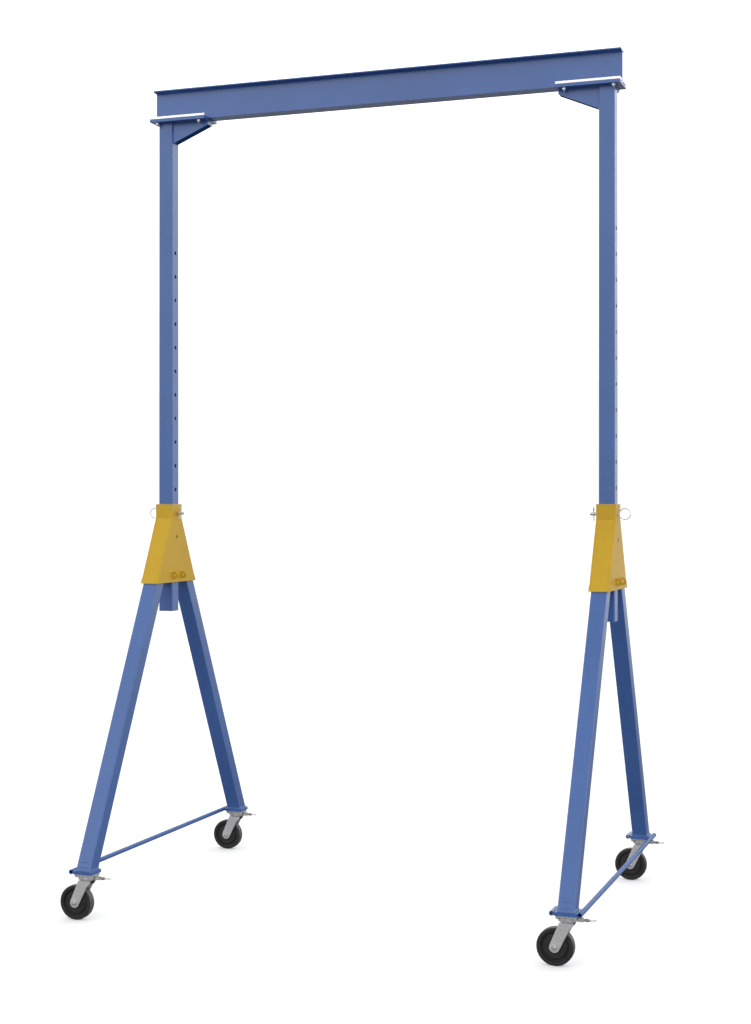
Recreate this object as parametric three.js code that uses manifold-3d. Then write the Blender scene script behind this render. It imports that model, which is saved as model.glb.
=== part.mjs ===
// Adjustable-height portable gantry crane on four swivel casters.
// Frame: +X along the bridge beam, +Y from the front feet to the rear feet, +Z up, millimetres.
// The origin is on the floor, below the middle of the bounding box.
import * as THREE from 'three';
import { mergeVertices } from 'three/addons/utils/BufferGeometryUtils.js';
import Module from 'manifold-3d';

const wasm = await Module();
wasm.setup();

// ---------- driving dimensions (mm) ----------
const GAP = 0.3;                 // clearance between pieces that rest on each other
const FRAME_X = 6.0;             // shift that puts the bounding box's middle on the origin
const SPAN = 2869.6;             // between the two post centres, along X
const PITCH = 152.4;             // pin-hole pitch of the posts
const PIN_Z = 2377.6;            // height of the locking pins
const HOLES_BELOW = 2;           // post holes below the pin
const HOLES_ABOVE = 11;          // post holes above the pin
const HOLE_R = 12.2;             // post hole radius
const POST_W = 95.2;             // square post, outside
const POST_WALL = 6.4;
const POST_Z0 = 1747.6;          // lower end of the posts
const BEAM_L = 3040;             // bridge beam
const BEAM_Z0 = 4897;            // underside of the bridge beam
const BEAM_H = 203.2;
const FLANGE_W = 102;
const FLANGE_TIP = 7.5;          // flange thickness at its edge
const FLANGE_ROOT = 13;          // and at the web
const WEB_T = 7;
const SEAT_OUT = 1523.7;         // beam seat: outer and inner ends, distance from the middle
const SEAT_IN = 1138;
const SEAT_W = 190;
const SEAT_T = 9.7;
const BAR_T = 15;                // clamp bars over the beam's lower flange
const BAR_IN = 43;               // inner edge of a clamp bar, from the beam's middle plane
const BOLT_X = [1187, 1480];     // clamp bolts, distance from the middle
const BOLT_Y = 73;
const GUSSET_W = 64;             // knee brace under each seat
const GUSSET_LOW = 4757;
const GUSSET_TIP = 4860;
const HEAD_X = 58.5;             // A-frame head: half width along X
const HEAD_TOP = 2435.4;
const HEAD_SHOULDER = 2348;
const HEAD_LOW = 1934;
const HEAD_NECK_Y = 67;          // half depth at the collar
const HEAD_FOOT_Y = 272;         // half depth at the bottom
const HEAD_BORE = 97.6;          // square way for the post
const LEG_W = 94.4;              // square legs, outside
const LEG_WALL = 6.4;
const LEG_Y_TOP = 211;           // leg centre line at HEAD_LOW
const LEG_Y_FOOT = 1052;         // leg centre line at the foot plate's top
const LEG_TOP = 2118;
const FOOT_Y = 1051.8;           // foot plate centres
const FOOT_Z0 = 274;
const FOOT_Z1 = 294;
const FOOT_HX = 62;
const FOOT_HY = 57.5;
const PIPE_R = 13.35;            // tie pipe
const PIPE_X = 76;               // from the foot's centre
const PIPE_Z = 287;
const PLATE_HX = 57;             // caster top plate
const PLATE_HY = 51;
const PLATE_T = 8;
const RACE_R = 51;               // swivel raceway
const TRAIL = 65.4;              // the wheel trails the swivel axis towards -X
const WHEEL_R = 101.6;
const WHEEL_W = 50;
const FORK_IN = 29.5;            // fork legs' inner faces
const FORK_T = 6.3;
const PIN_R = 9.5;

const S = SPAN / 2;
const BLUE = { color: 0x4f6fb0, roughness: 0.42, metalness: 0.0 };
const YELLOW = { color: 0xd0a030, roughness: 0.45, metalness: 0.0 };
const ZINC = { color: 0xb4b6b8, roughness: 0.38, metalness: 0.85 };
const BLACK = { color: 0x2b2b2b, roughness: 0.55, metalness: 0.0 };

// ---------- helpers ----------
function solid(geometry) {
  const g = geometry.clone();
  g.deleteAttribute('normal');
  g.deleteAttribute('uv');
  const m = mergeVertices(g, 1e-4);
  return new wasm.Manifold(new wasm.Mesh({
    numProp: 3,
    vertProperties: new Float32Array(m.attributes.position.array),
    triVerts: new Uint32Array(m.index.array),
  }));
}
function geometryOf(manifold) {
  const mesh = manifold.getMesh();
  const g = new THREE.BufferGeometry();
  const n = mesh.numProp;
  const v = mesh.vertProperties;
  const p = new Float32Array((v.length / n) * 3);
  for (let i = 0, k = 0; i < v.length; i += n, k += 3) {
    p[k] = v[i]; p[k + 1] = v[i + 1]; p[k + 2] = v[i + 2];
  }
  g.setAttribute('position', new THREE.BufferAttribute(p, 3));
  g.setIndex(new THREE.BufferAttribute(new Uint32Array(mesh.triVerts), 1));
  g.computeVertexNormals();
  return g;
}
// axis-aligned box from its two corners
function box(x0, y0, z0, x1, y1, z1) {
  const g = new THREE.BoxGeometry(x1 - x0, y1 - y0, z1 - z0);
  g.translate((x0 + x1) / 2, (y0 + y1) / 2, (z0 + z1) / 2);
  return solid(g);
}
// cylinder between two points on a line parallel to an axis
function rod(axis, r, a, b, u, v, sides = 12, r2 = r, turn = 0) {
  const g = new THREE.CylinderGeometry(r2, r, Math.abs(b - a), sides, 1);
  g.rotateY(turn);
  if (axis === 'x') { g.rotateZ(-Math.PI / 2); g.translate((a + b) / 2, u, v); }
  else if (axis === 'y') { g.translate(u, (a + b) / 2, v); }
  else { g.rotateX(Math.PI / 2); g.translate(u, v, (a + b) / 2); }
  return solid(g);
}
// prism: points in the YZ plane, extruded along X from x0 to x1
function prismX(points, x0, x1) {
  const s = new THREE.Shape(points.map(([y, z]) => new THREE.Vector2(y, z)));
  const g = new THREE.ExtrudeGeometry(s, { depth: x1 - x0, bevelEnabled: false, curveSegments: 12 });
  // shape x -> Y, shape y -> Z, extrusion -> X
  g.applyMatrix4(new THREE.Matrix4().set(0, 0, 1, x0, 1, 0, 0, 0, 0, 1, 0, 0, 0, 0, 0, 1));
  return solid(g);
}
// prism: points in the XZ plane, extruded along Y from y0 to y1
function prismY(points, y0, y1) {
  const s = points instanceof THREE.Shape ? points : new THREE.Shape(points.map(([x, z]) => new THREE.Vector2(x, z)));
  const g = new THREE.ExtrudeGeometry(s, { depth: y1 - y0, bevelEnabled: false, curveSegments: 10 });
  // shape x -> X, shape y -> Z, extrusion -> -Y, so it starts at y1
  g.applyMatrix4(new THREE.Matrix4().set(1, 0, 0, 0, 0, 0, -1, y1, 0, 1, 0, 0, 0, 0, 0, 1));
  return solid(g);
}
function turned(profile, sides) {
  return solid(new THREE.LatheGeometry(profile.map(([r, h]) => new THREE.Vector2(r, h)), sides));
}
// round wire along a curve
function wire(curve, r, steps, sides = 8, closed = false) {
  const section = new THREE.Shape();
  for (let i = 0; i < sides; i++) {
    const a = (i / sides) * 2 * Math.PI;
    if (i) section.lineTo(r * Math.cos(a), r * Math.sin(a));
    else section.moveTo(r, 0);
  }
  section.closePath();
  return solid(new THREE.ExtrudeGeometry(section, { steps, extrudePath: curve, bevelEnabled: false, closed }));
}
const root = new THREE.Group();
const frame = new THREE.Group();
frame.position.set(FRAME_X, 0, 0);
root.add(frame);
function piece(name, manifold, look, at = [0, 0, 0], parent = frame) {
  const mesh = new THREE.Mesh(geometryOf(manifold), new THREE.MeshStandardMaterial(look));
  mesh.name = name;
  mesh.position.set(...at);
  parent.add(mesh);
  return mesh;
}

// ---------- bridge beam: rolled I-section with tapered flanges ----------
{
  const f = FLANGE_W / 2, w = WEB_T / 2, z0 = BEAM_Z0, z1 = BEAM_Z0 + BEAM_H, r = 6;
  const half = [
    [f, z0], [f, z0 + FLANGE_TIP - 2], [f - 2, z0 + FLANGE_TIP], [w + r, z0 + FLANGE_ROOT], [w + 1.5, z0 + FLANGE_ROOT + 1.5], [w, z0 + FLANGE_ROOT + r],
    [w, z1 - FLANGE_ROOT - r], [w + 1.5, z1 - FLANGE_ROOT - 1.5], [w + r, z1 - FLANGE_ROOT], [f - 2, z1 - FLANGE_TIP], [f, z1 - FLANGE_TIP + 2], [f, z1],
  ];
  const pts = [...half, ...half.slice().reverse().map(([y, z]) => [-y, z])];
  piece('bridge_beam', prismX(pts, -BEAM_L / 2, BEAM_L / 2), BLUE);
}

// ---------- pieces that both ends of the crane have ----------
const SIDES = [['left', -1], ['right', 1]];
for (const [side, s] of SIDES) {
  const cx = s * S;
  const lo = (a, b) => Math.min(a, b), hi = (a, b) => Math.max(a, b);

  // post: square tube, open at both ends, with a column of holes through both X walls
  const p = POST_W / 2, pi = p - POST_WALL, top = BEAM_Z0 - GAP - SEAT_T - GAP;
  let post = box(-p, -p, POST_Z0, p, p, top).subtract(box(-pi, -pi, POST_Z0 - 10, pi, pi, top + 10));
  for (let k = -HOLES_BELOW; k <= HOLES_ABOVE; k++) {
    post = post.subtract(rod('x', HOLE_R, -p - 5, p + 5, 0, PIN_Z + k * PITCH, 10, HOLE_R, Math.PI / 10));
  }
  piece(`${side}_post`, post, BLUE, [cx, 0, 0]);

  // beam seat plate with a filler strip along its front and rear edges
  const seatTop = BEAM_Z0 - GAP;
  const sx0 = lo(s * SEAT_IN, s * SEAT_OUT), sx1 = hi(s * SEAT_IN, s * SEAT_OUT);
  const barZ = BEAM_Z0 + 9;
  let seat = box(sx0, -SEAT_W / 2, seatTop - SEAT_T, sx1, SEAT_W / 2, seatTop);
  for (const q of [-1, 1]) {
    seat = seat.add(box(sx0, lo(q * 52, q * SEAT_W / 2), seatTop - 2, sx1, hi(q * 52, q * SEAT_W / 2), barZ - GAP));
    for (const bx of BOLT_X) seat = seat.subtract(rod('z', 7.2, seatTop - 30, barZ + 10, s * bx, q * BOLT_Y, 12));
  }
  piece(`${side}_beam_seat`, seat, BLUE);

  // clamp bars and their bolts
  for (const [face, q] of [['front', -1], ['rear', 1]]) {
    let bar = box(sx0, lo(q * BAR_IN, q * SEAT_W / 2), barZ, sx1, hi(q * BAR_IN, q * SEAT_W / 2), barZ + BAR_T);
    for (const bx of BOLT_X) bar = bar.subtract(rod('z', 7.2, barZ - 10, barZ + 40, s * bx, q * BOLT_Y, 12));
    piece(`${side}_${face}_clamp_bar`, bar, ZINC);
    BOLT_X.forEach((bx, i) => {
      const under = seatTop - SEAT_T - GAP;
      const bolt = rod('z', 11, barZ + BAR_T + GAP, barZ + BAR_T + GAP + 4, 0, 0, 6)
        .add(rod('z', 6, under - 22, barZ + BAR_T + GAP + 2, 0, 0, 12))
        .add(rod('z', 11, under - 12, under, 0, 0, 6));
      piece(`${side}_${face}_clamp_bolt_${i ? 'outer' : 'inner'}`, bolt, ZINC, [s * bx, q * BOLT_Y, 0]);
    });
  }

  // knee brace: two tapering webs under a top flange, with an end plate at the toe; open below and to the post
  {
    const xa = S - p - GAP, xb = SEAT_IN + 4, z1 = seatTop - SEAT_T - GAP, t = 6;
    const outer = [[s * xa, GUSSET_LOW], [s * xa, z1], [s * xb, z1], [s * xb, GUSSET_TIP]];
    const xi = xb + t;
    const inner = [[s * (xa + 20), GUSSET_LOW - 60], [s * (xa + 20), z1 - t], [s * xi, z1 - t], [s * xi, GUSSET_LOW - 60]];
    const g = GUSSET_W / 2;
    const brace = prismY(s > 0 ? outer : outer.slice().reverse(), -g, g).subtract(prismY(s > 0 ? inner : inner.slice().reverse(), -g + t, g - t));
    piece(`${side}_knee_brace`, brace, BLUE);
  }

  // A-frame head: collar and tapered housing round the post, with lugs and pin holes
  {
    const shape = [[-HEAD_FOOT_Y, HEAD_LOW], [HEAD_FOOT_Y, HEAD_LOW], [HEAD_NECK_Y, HEAD_SHOULDER], [HEAD_NECK_Y, HEAD_TOP], [-HEAD_NECK_Y, HEAD_TOP], [-HEAD_NECK_Y, HEAD_SHOULDER]];
    let head = prismX(shape, -HEAD_X, HEAD_X);
    const b = HEAD_BORE / 2;
    head = head.subtract(box(-b, -b, HEAD_LOW - 20, b, b, HEAD_TOP + 20));
    const k = (HEAD_FOOT_Y - HEAD_NECK_Y) / (HEAD_SHOULDER - HEAD_LOW);
    const wallY = b + 9, skin = 7.4, down = 20;
    const yl = HEAD_FOOT_Y - skin + k * down, zt = HEAD_LOW + (HEAD_FOOT_Y - skin - wallY - 2) / k;
    for (const q of [-1, 1]) {
      const pts = [[q * wallY, HEAD_LOW - down], [q * yl, HEAD_LOW - down], [q * (wallY + 2), zt], [q * wallY, zt]];
      head = head.subtract(prismX(q > 0 ? pts : pts.slice().reverse(), -LEG_W / 2 - 0.6, LEG_W / 2 + 0.6));
    }
    // bands round the side plates' lower edge, then the lugs
    const bandZ = HEAD_LOW + 35;
    for (const q of [-1, 1]) {
      const x0 = lo(q * (HEAD_X - 1), q * (HEAD_X + 2.5)), x1 = hi(q * (HEAD_X - 1), q * (HEAD_X + 2.5));
      const fy = HEAD_FOOT_Y - 1, ty = HEAD_FOOT_Y - 1 - k * (bandZ - HEAD_LOW);
      head = head.add(prismX([[-fy, HEAD_LOW], [fy, HEAD_LOW], [ty, bandZ], [-ty, bandZ]], x0, x1));
      for (const ly of [-60, 60]) {
        const ez = HEAD_LOW + 47, er = 21.5, base = HEAD_X - 1, reach = 16.5;
        const eye = new THREE.Shape();
        eye.moveTo(q * base, ez - er);
        eye.lineTo(q * (HEAD_X + reach), ez - er);
        for (let i = 1; i <= 12; i++) {
          const a = -Math.PI / 2 + (i / 12) * Math.PI;
          eye.lineTo(q * (HEAD_X + reach + er * Math.cos(a)), ez + er * Math.sin(a));
        }
        eye.lineTo(q * base, ez + er);
        eye.closePath();
        head = head.add(prismY(eye, ly - 5, ly + 5));
        head = head.subtract(rod('y', 9, ly - 10, ly + 10, q * (HEAD_X + reach), ez, 16));
      }
    }
    for (const z of [PIN_Z, PIN_Z - PITCH]) head = head.subtract(rod('x', 10.8, -HEAD_X - 10, HEAD_X + 10, 0, z, 16));
    piece(`${side}_frame_head`, head, YELLOW, [cx, 0, 0]);
  }

  // locking pin, its welded ring handle and its hairpin clip
  {
    const face = s * (HEAD_X + GAP), out = s * (HEAD_X + 4), innerEnd = -s * (HEAD_X + 50);
    let pin = rod('x', PIN_R, lo(out, innerEnd + s * 2), hi(out, innerEnd + s * 2), 0, 0, 16)
      .add(rod('x', 13.5, lo(face, face + s * 5), hi(face, face + s * 5), 0, 0, 16))
      .add(rod('x', s > 0 ? 7.2 : PIN_R, lo(innerEnd, innerEnd + s * 2.2), hi(innerEnd, innerEnd + s * 2.2), 0, 0, 16, s > 0 ? PIN_R : 7.2));
    const clipX = -s * (HEAD_X + 26);
    pin = pin.subtract(rod('z', 3, -30, 30, clipX, 0, 12));
    piece(`${side}_lock_pin`, pin, ZINC, [cx, 0, PIN_Z]);

    const ring = new THREE.TorusGeometry(32.2, 2.8, 6, 24);
    ring.rotateX(Math.PI / 2);
    piece(`${side}_pin_ring`, solid(ring), ZINC, [cx + s * (HEAD_X + 5 + GAP + 0.4 + 35), 0, PIN_Z]);

    const c = 2.1, q = PIN_R + c + 0.6;
    const path = new THREE.CatmullRomCurve3([
      new THREE.Vector3(clipX, 0, -40), new THREE.Vector3(clipX, 0, -20), new THREE.Vector3(clipX, 0, 6), new THREE.Vector3(clipX, 0, 24), new THREE.Vector3(clipX, -2.5, 34),
      new THREE.Vector3(clipX, -10, 40), new THREE.Vector3(clipX, -17, 34), new THREE.Vector3(clipX, -16, 24), new THREE.Vector3(clipX, -q - 1.4, 12), new THREE.Vector3(clipX, -q - 1.6, 0),
      new THREE.Vector3(clipX, -q - 1, -12), new THREE.Vector3(clipX, -q - 0.6, -21), new THREE.Vector3(clipX, -q - 2, -30), new THREE.Vector3(clipX, -q - 6, -37),
    ]);
    piece(`${side}_hairpin_clip`, wire(path, c, 26, 6), ZINC, [cx, 0, PIN_Z]);
  }

  // legs, foot plates and tie pipe
  const t = (LEG_Y_FOOT - LEG_Y_TOP) / (HEAD_LOW - FOOT_Z1);
  const cos = 1 / Math.hypot(1, t);
  for (const [face, q] of [['front', -1], ['rear', 1]]) {
    const h = LEG_W / 2, hi2 = h - LEG_WALL, hy = h / cos, hyi = hi2 / cos;
    const yAt = (z) => LEG_Y_TOP + t * (HEAD_LOW - z);
    const z0 = FOOT_Z1 + GAP, z1 = LEG_TOP;
    const band = (d, a, b) => {
      const pts = [[q * (yAt(a) - d), a], [q * (yAt(a) + d), a], [q * (yAt(b) + d), b], [q * (yAt(b) - d), b]];
      return q > 0 ? pts : pts.slice().reverse();
    };
    const leg = prismX(band(hy, z0, z1), -h, h).subtract(prismX(band(hyi, z0 - 20, z1 + 20), -hi2, hi2));
    piece(`${side}_${face}_leg`, leg, BLUE, [cx, 0, 0]);

    // foot plate; on the right-hand frame a short pipe stub is welded along its inner edge
    const fy = q * FOOT_Y;
    let foot = box(-FOOT_HX, -FOOT_HY, FOOT_Z0, FOOT_HX, FOOT_HY, FOOT_Z1);
    if (s > 0) {
      const stub = rod('y', PIPE_R, -FOOT_HY, FOOT_HY, -PIPE_X, PIPE_Z, 16).subtract(rod('y', PIPE_R - 3.4, -FOOT_HY - 9, FOOT_HY + 9, -PIPE_X, PIPE_Z, 12));
      foot = foot.add(box(-FOOT_HX - 2.5, -FOOT_HY + 4, PIPE_Z - 4, -FOOT_HX + 2, FOOT_HY - 4, PIPE_Z + 4)).add(stub);
    }
    piece(`${side}_${face}_foot_plate`, foot, BLUE, [cx, fy, 0]);
  }
  const run = FOOT_Y + FOOT_HY;
  const pipe = rod('y', PIPE_R, -run, run, 0, 0, 16).subtract(rod('y', PIPE_R - 3.4, -run - 9, run + 9, 0, 0, 12));
  piece(`${side}_tie_pipe`, pipe, BLUE, [cx + s * PIPE_X, 0, PIPE_Z]);
}

// ---------- casters ----------
const CORNERS = [['front_left', -1, -1], ['front_right', 1, -1], ['rear_left', -1, 1], ['rear_right', 1, 1]];
for (const [name, sx, sy] of CORNERS) {
  const at = [sx * S, sy * FOOT_Y, 0];
  const top = FOOT_Z0 - GAP, under = top - PLATE_T;

  // fixed top plate with its bolts, the kingpin and the housing of the swivel lock
  let plate = box(-PLATE_HX, -PLATE_HY, under, PLATE_HX, PLATE_HY, top);
  for (const bx of [-1, 1]) for (const by of [-1, 1]) {
    plate = plate.add(rod('z', 10.5, under - 9, under + 1, bx * 47, by * 41, 6));
  }
  plate = plate.add(rod('z', 9.4, 216, under + 2, 0, 0, 16)).add(rod('z', 16, 216, 227, 0, 0, 6));
  plate = plate.add(box(53.6, -11, 240, 84.5, 11, 262)).add(box(53.6, -11, 258, PLATE_HX, 11, under + 1));
  plate = plate.add(prismY([[PLATE_HX - 2, under + 2], [PLATE_HX - 2, 258], [80, 258], [80, 262]], -4, 4));
  plate = plate.subtract(rod('x', 6.6, 40, 110, 0, 250, 16));
  piece(`${name}_caster_plate`, plate, ZINC, at);

  // fork: notched raceway, crown and two raked legs
  let fork = rod('z', RACE_R, 238, 265, 0, 0, 24);
  for (const a of [0, 1, 2, 3]) {
    const n = solid(new THREE.BoxGeometry(16, 14.4, 16).translate(RACE_R, 0, 250).rotateZ(a * Math.PI / 2));
    fork = fork.subtract(n);
  }
  fork = fork.add(box(-40, -FORK_IN - FORK_T, 230, 38, FORK_IN + FORK_T, 239));
  const side = new THREE.Shape();
  const ax = -TRAIL, az = WHEEL_R, er = 28.5;
  side.moveTo(-40, 239);
  const a0 = Math.PI - 0.45, a1 = 2 * Math.PI - 0.45;
  for (let i = 0; i <= 12; i++) {
    const a = a0 + (a1 - a0) * (i / 12);
    side.lineTo(ax + er * Math.cos(a), az + er * Math.sin(a));
  }
  side.lineTo(20, 205);
  side.lineTo(38, 239);
  side.closePath();
  for (const q of [-1, 1]) {
    fork = fork.add(prismY(side, Math.min(q * FORK_IN, q * (FORK_IN + FORK_T)), Math.max(q * FORK_IN, q * (FORK_IN + FORK_T))));
  }
  fork = fork.subtract(rod('z', 10.2, 200, 280, 0, 0, 16));
  fork = fork.subtract(rod('y', 9.9, -60, 60, ax, az, 16));
  piece(`${name}_caster_fork`, fork, ZINC, at);

  // wheel: crowned tread, rim face, groove and recessed disc, with a hub boss
  const w = WHEEL_W / 2, R = WHEEL_R;
  const half = [[R, w - 8], [R - 5, w], [79, w], [76, w - 8], [66, w - 8], [63, w - 5], [29, w - 5], [28, w + 3]];
  const prof = [[10.8, -(w + 3)], ...half.slice().reverse().map(([r, h]) => [r, -h]), ...half, [10.8, w + 3], [10.8, -(w + 3)]];
  const wheel = turned(prof, 24);
  piece(`${name}_wheel`, wheel, BLACK, [at[0] - TRAIL, at[1], WHEEL_R]);

  // axle bolt and nut
  const fo = FORK_IN + FORK_T + GAP;
  const axle = rod('y', 9.5, -fo - 2, fo + 2, 0, 0, 16).add(rod('y', 15, -fo - 9.5, -fo, 0, 0, 6)).add(rod('y', 15, fo, fo + 10, 0, 0, 6)).add(rod('y', 8, fo + 8, fo + 15, 0, 0, 12));
  piece(`${name}_axle`, axle, ZINC, [at[0] - TRAIL, at[1], WHEEL_R]);

  // swivel-lock plunger with its pull ring, drawn out clear of the raceway
  const ring = new THREE.TorusGeometry(17.5, 2, 6, 16);
  ring.translate(135.5, 0, 250);
  const plunger = rod('x', 6, 52.4, 112, 0, 250, 12).add(rod('x', 8.6, 92.4, 114, 0, 250, 12)).add(rod('x', 4, 113, 119, 0, 250, 12)).add(solid(ring));
  piece(`${name}_swivel_lock`, plunger, ZINC, at);
}

export default root;
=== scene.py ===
# Portable gantry crane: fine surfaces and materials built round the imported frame.
# Lengths in the shape code are millimetres in the row frame; make() turns them into metres.
import math

import bmesh
import bpy
from mathutils import Matrix, Vector, noise


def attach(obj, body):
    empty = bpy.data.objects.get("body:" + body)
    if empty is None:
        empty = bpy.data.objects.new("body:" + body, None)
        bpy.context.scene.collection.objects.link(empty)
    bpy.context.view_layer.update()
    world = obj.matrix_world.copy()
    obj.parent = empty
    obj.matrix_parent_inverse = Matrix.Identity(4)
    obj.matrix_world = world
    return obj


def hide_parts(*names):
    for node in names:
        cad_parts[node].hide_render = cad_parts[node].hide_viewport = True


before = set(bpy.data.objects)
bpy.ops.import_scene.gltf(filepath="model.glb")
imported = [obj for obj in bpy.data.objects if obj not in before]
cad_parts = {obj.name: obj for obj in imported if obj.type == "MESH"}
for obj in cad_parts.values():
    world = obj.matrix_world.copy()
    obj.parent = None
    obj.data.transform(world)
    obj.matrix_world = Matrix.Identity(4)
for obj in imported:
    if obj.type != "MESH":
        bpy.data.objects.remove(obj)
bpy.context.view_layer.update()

# ------------------------------------------------------------------ dimensions, as in the CAD
X0 = 6.0
S = 2869.6 / 2
PITCH, PIN_Z = 152.4, 2377.6
POST_H, POST_WALL, POST_Z0, POST_Z1 = 47.6, 6.4, 1747.6, 4886.7
HOLE_R = 12.2
BEAM_L, BEAM_Z0, BEAM_H = 3040.0, 4897.0, 203.2
SEAT_IN, SEAT_OUT, SEAT_W = 1138.0, 1523.7, 190.0
SEAT_Z0, SEAT_Z1 = 4887.0, 4896.7
BAR_Z0, BAR_Z1, BAR_IN = 4906.0, 4921.0, 43.0
BOLT_X, BOLT_Y = (1187.0, 1480.0), 73.0
HEAD_X, HEAD_TOP, HEAD_SHOULDER, HEAD_LOW = 58.5, 2435.4, 2348.0, 1934.0
NECK_Y, HFOOT_Y, BORE = 67.0, 272.0, 48.8
LEG_H, LEG_WALL, LEG_TOP = 47.2, 6.4, 2118.0
LEG_Y_TOP, LEG_Y_FOOT = 211.0, 1052.0
FOOT_Y, FOOT_Z0, FOOT_Z1, FOOT_HX, FOOT_HY = 1051.8, 274.0, 294.0, 62.0, 57.5
PIPE_R, PIPE_X, PIPE_Z = 13.35, 76.0, 287.0
TRAIL, WHEEL_R, WHEEL_W = 65.4, 101.6, 50.0
FORK_IN, FORK_T = 29.5, 6.3
PIN_R = 9.5


# ------------------------------------------------------------------ shape helpers: a part is (vertices, faces)
def moved(part, m):
    return [tuple(m @ Vector(p)) for p in part[0]], part[1]


def shift(part, x=0.0, y=0.0, z=0.0):
    return [(p[0] + x, p[1] + y, p[2] + z) for p in part[0]], part[1]


def merged(*parts):
    v, f = [], []
    for pv, pf in parts:
        o = len(v)
        v += list(pv)
        f += [tuple(i + o for i in face) for face in pf]
    return v, f


AXES = {
    "z": Matrix.Identity(4),
    "-z": Matrix.Rotation(math.pi, 4, "X"),
    "x": Matrix.Rotation(math.pi / 2, 4, "Y"),
    "-x": Matrix.Rotation(-math.pi / 2, 4, "Y"),
    "y": Matrix.Rotation(-math.pi / 2, 4, "X"),
    "-y": Matrix.Rotation(math.pi / 2, 4, "X"),
}


def aim(part, axis, at):
    """Turns a part made along local +Z to lie along an axis, then puts its origin at a point."""
    return moved(part, Matrix.Translation(at) @ AXES[axis])


def loft(rings, cap0=True, cap1=True, loop=False):
    n = len(rings[0])
    v = [tuple(p) for r in rings for p in r]
    f = []
    k = len(rings)
    for i in range(k if loop else k - 1):
        a, b = i * n, ((i + 1) % k) * n
        for j in range(n):
            jj = (j + 1) % n
            f.append((a + j, a + jj, b + jj, b + j))
    if not loop:
        if cap0:
            f.append(tuple(reversed(range(n))))
        if cap1:
            f.append(tuple(range((k - 1) * n, k * n)))
    return v, f


def lathe(profile, n=64, loop=False):
    """Turned about local Z. An open profile is capped at both ends, a loop closes on itself."""
    rings = [
        [
            (
                r * math.cos(2 * math.pi * i / n),
                r * math.sin(2 * math.pi * i / n),
                h,
            )
            for i in range(n)
        ]
        for r, h in profile
    ]
    return loft(rings, loop=loop)


def arc(cx, cy, r, a0, a1, n):
    return [
        (
            cx + r * math.cos(math.radians(a0 + (a1 - a0) * i / n)),
            cy + r * math.sin(math.radians(a0 + (a1 - a0) * i / n)),
        )
        for i in range(n + 1)
    ]


def rod(r, a, b, chamfer=0.8, n=32):
    """Solid round bar along Z from a to b with eased ends."""
    c = min(chamfer, r * 0.6)
    return lathe(
        [(r - c, a), (r - 0.3 * c, a + 0.3 * c), (r, a + c), (r, b - c), (r - 0.3 * c, b - 0.3 * c), (r - c, b)],
        n,
    )


def washer(r_out, r_in, a, b, n=48):
    c = 0.35
    return lathe(
        [(r_in, a), (r_out - c, a), (r_out, a + c), (r_out, b - c), (r_out - c, b), (r_in, b)],
        n,
        loop=True,
    )


def hexagon(flats, a, b, bore=0.0, both=False, n=72):
    """Hexagonal head or nut along Z, with the 30 degree turned chamfer of a real one."""
    ap = flats / 2
    rc = ap * 0.985
    t = math.tan(math.radians(30))

    def rh(i):
        u = (360.0 * i / n + 30) % 60 - 30
        return ap / math.cos(math.radians(u))

    def ring(z, kind):
        out = []
        for i in range(n):
            r = rh(i)
            zz = z
            if kind == "out_top":
                zz = b - 0.25 - max(0.0, r - rc) * t
            elif kind == "out_low":
                zz = a + (0.25 + max(0.0, r - rc) * t if both else 0.0)
            elif kind == "circle":
                r = rc
            elif kind == "bore":
                r = bore
            c = 2 * math.pi * i / n
            out.append((r * math.cos(c), r * math.sin(c), zz))
        return out

    rings = [ring(a, "out_low"), ring(b, "out_top"), ring(b, "circle")]
    if both:
        rings.insert(0, ring(a, "circle"))
    if bore:
        rings = [ring(a, "bore"), *rings, ring(b, "bore")]
        return loft(rings, loop=True)
    return loft(rings)


def threaded(r, a, b, pitch=2.0, depth=1.0, n=28):
    """Threaded stub along Z, its free end at b."""
    steps = max(6, int((b - a) / pitch * 6))
    rings = []
    for k in range(steps + 1):
        z = a + (b - a) * k / steps
        ring = []
        for i in range(n):
            u = (z / pitch - i / n) % 1.0
            rr = r - depth * abs(2 * u - 1)
            rr = min(rr, r - 1.6 + (b - z))
            c = 2 * math.pi * i / n
            ring.append((rr * math.cos(c), rr * math.sin(c), z))
        rings.append(ring)
    return loft(rings)


def catmull(points, per=8):
    pts = [Vector(p) for p in points]
    ext = [2 * pts[0] - pts[1], *pts, 2 * pts[-1] - pts[-2]]
    out = []
    for i in range(1, len(ext) - 2):
        a, b, c, d = ext[i - 1 : i + 3]
        for k in range(per):
            t = k / per
            out.append(
                0.5
                * (
                    2 * b
                    + (c - a) * t
                    + (2 * a - 5 * b + 4 * c - d) * t * t
                    + (3 * b - a - 3 * c + d) * t**3
                )
            )
    out.append(pts[-1])
    return out


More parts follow.
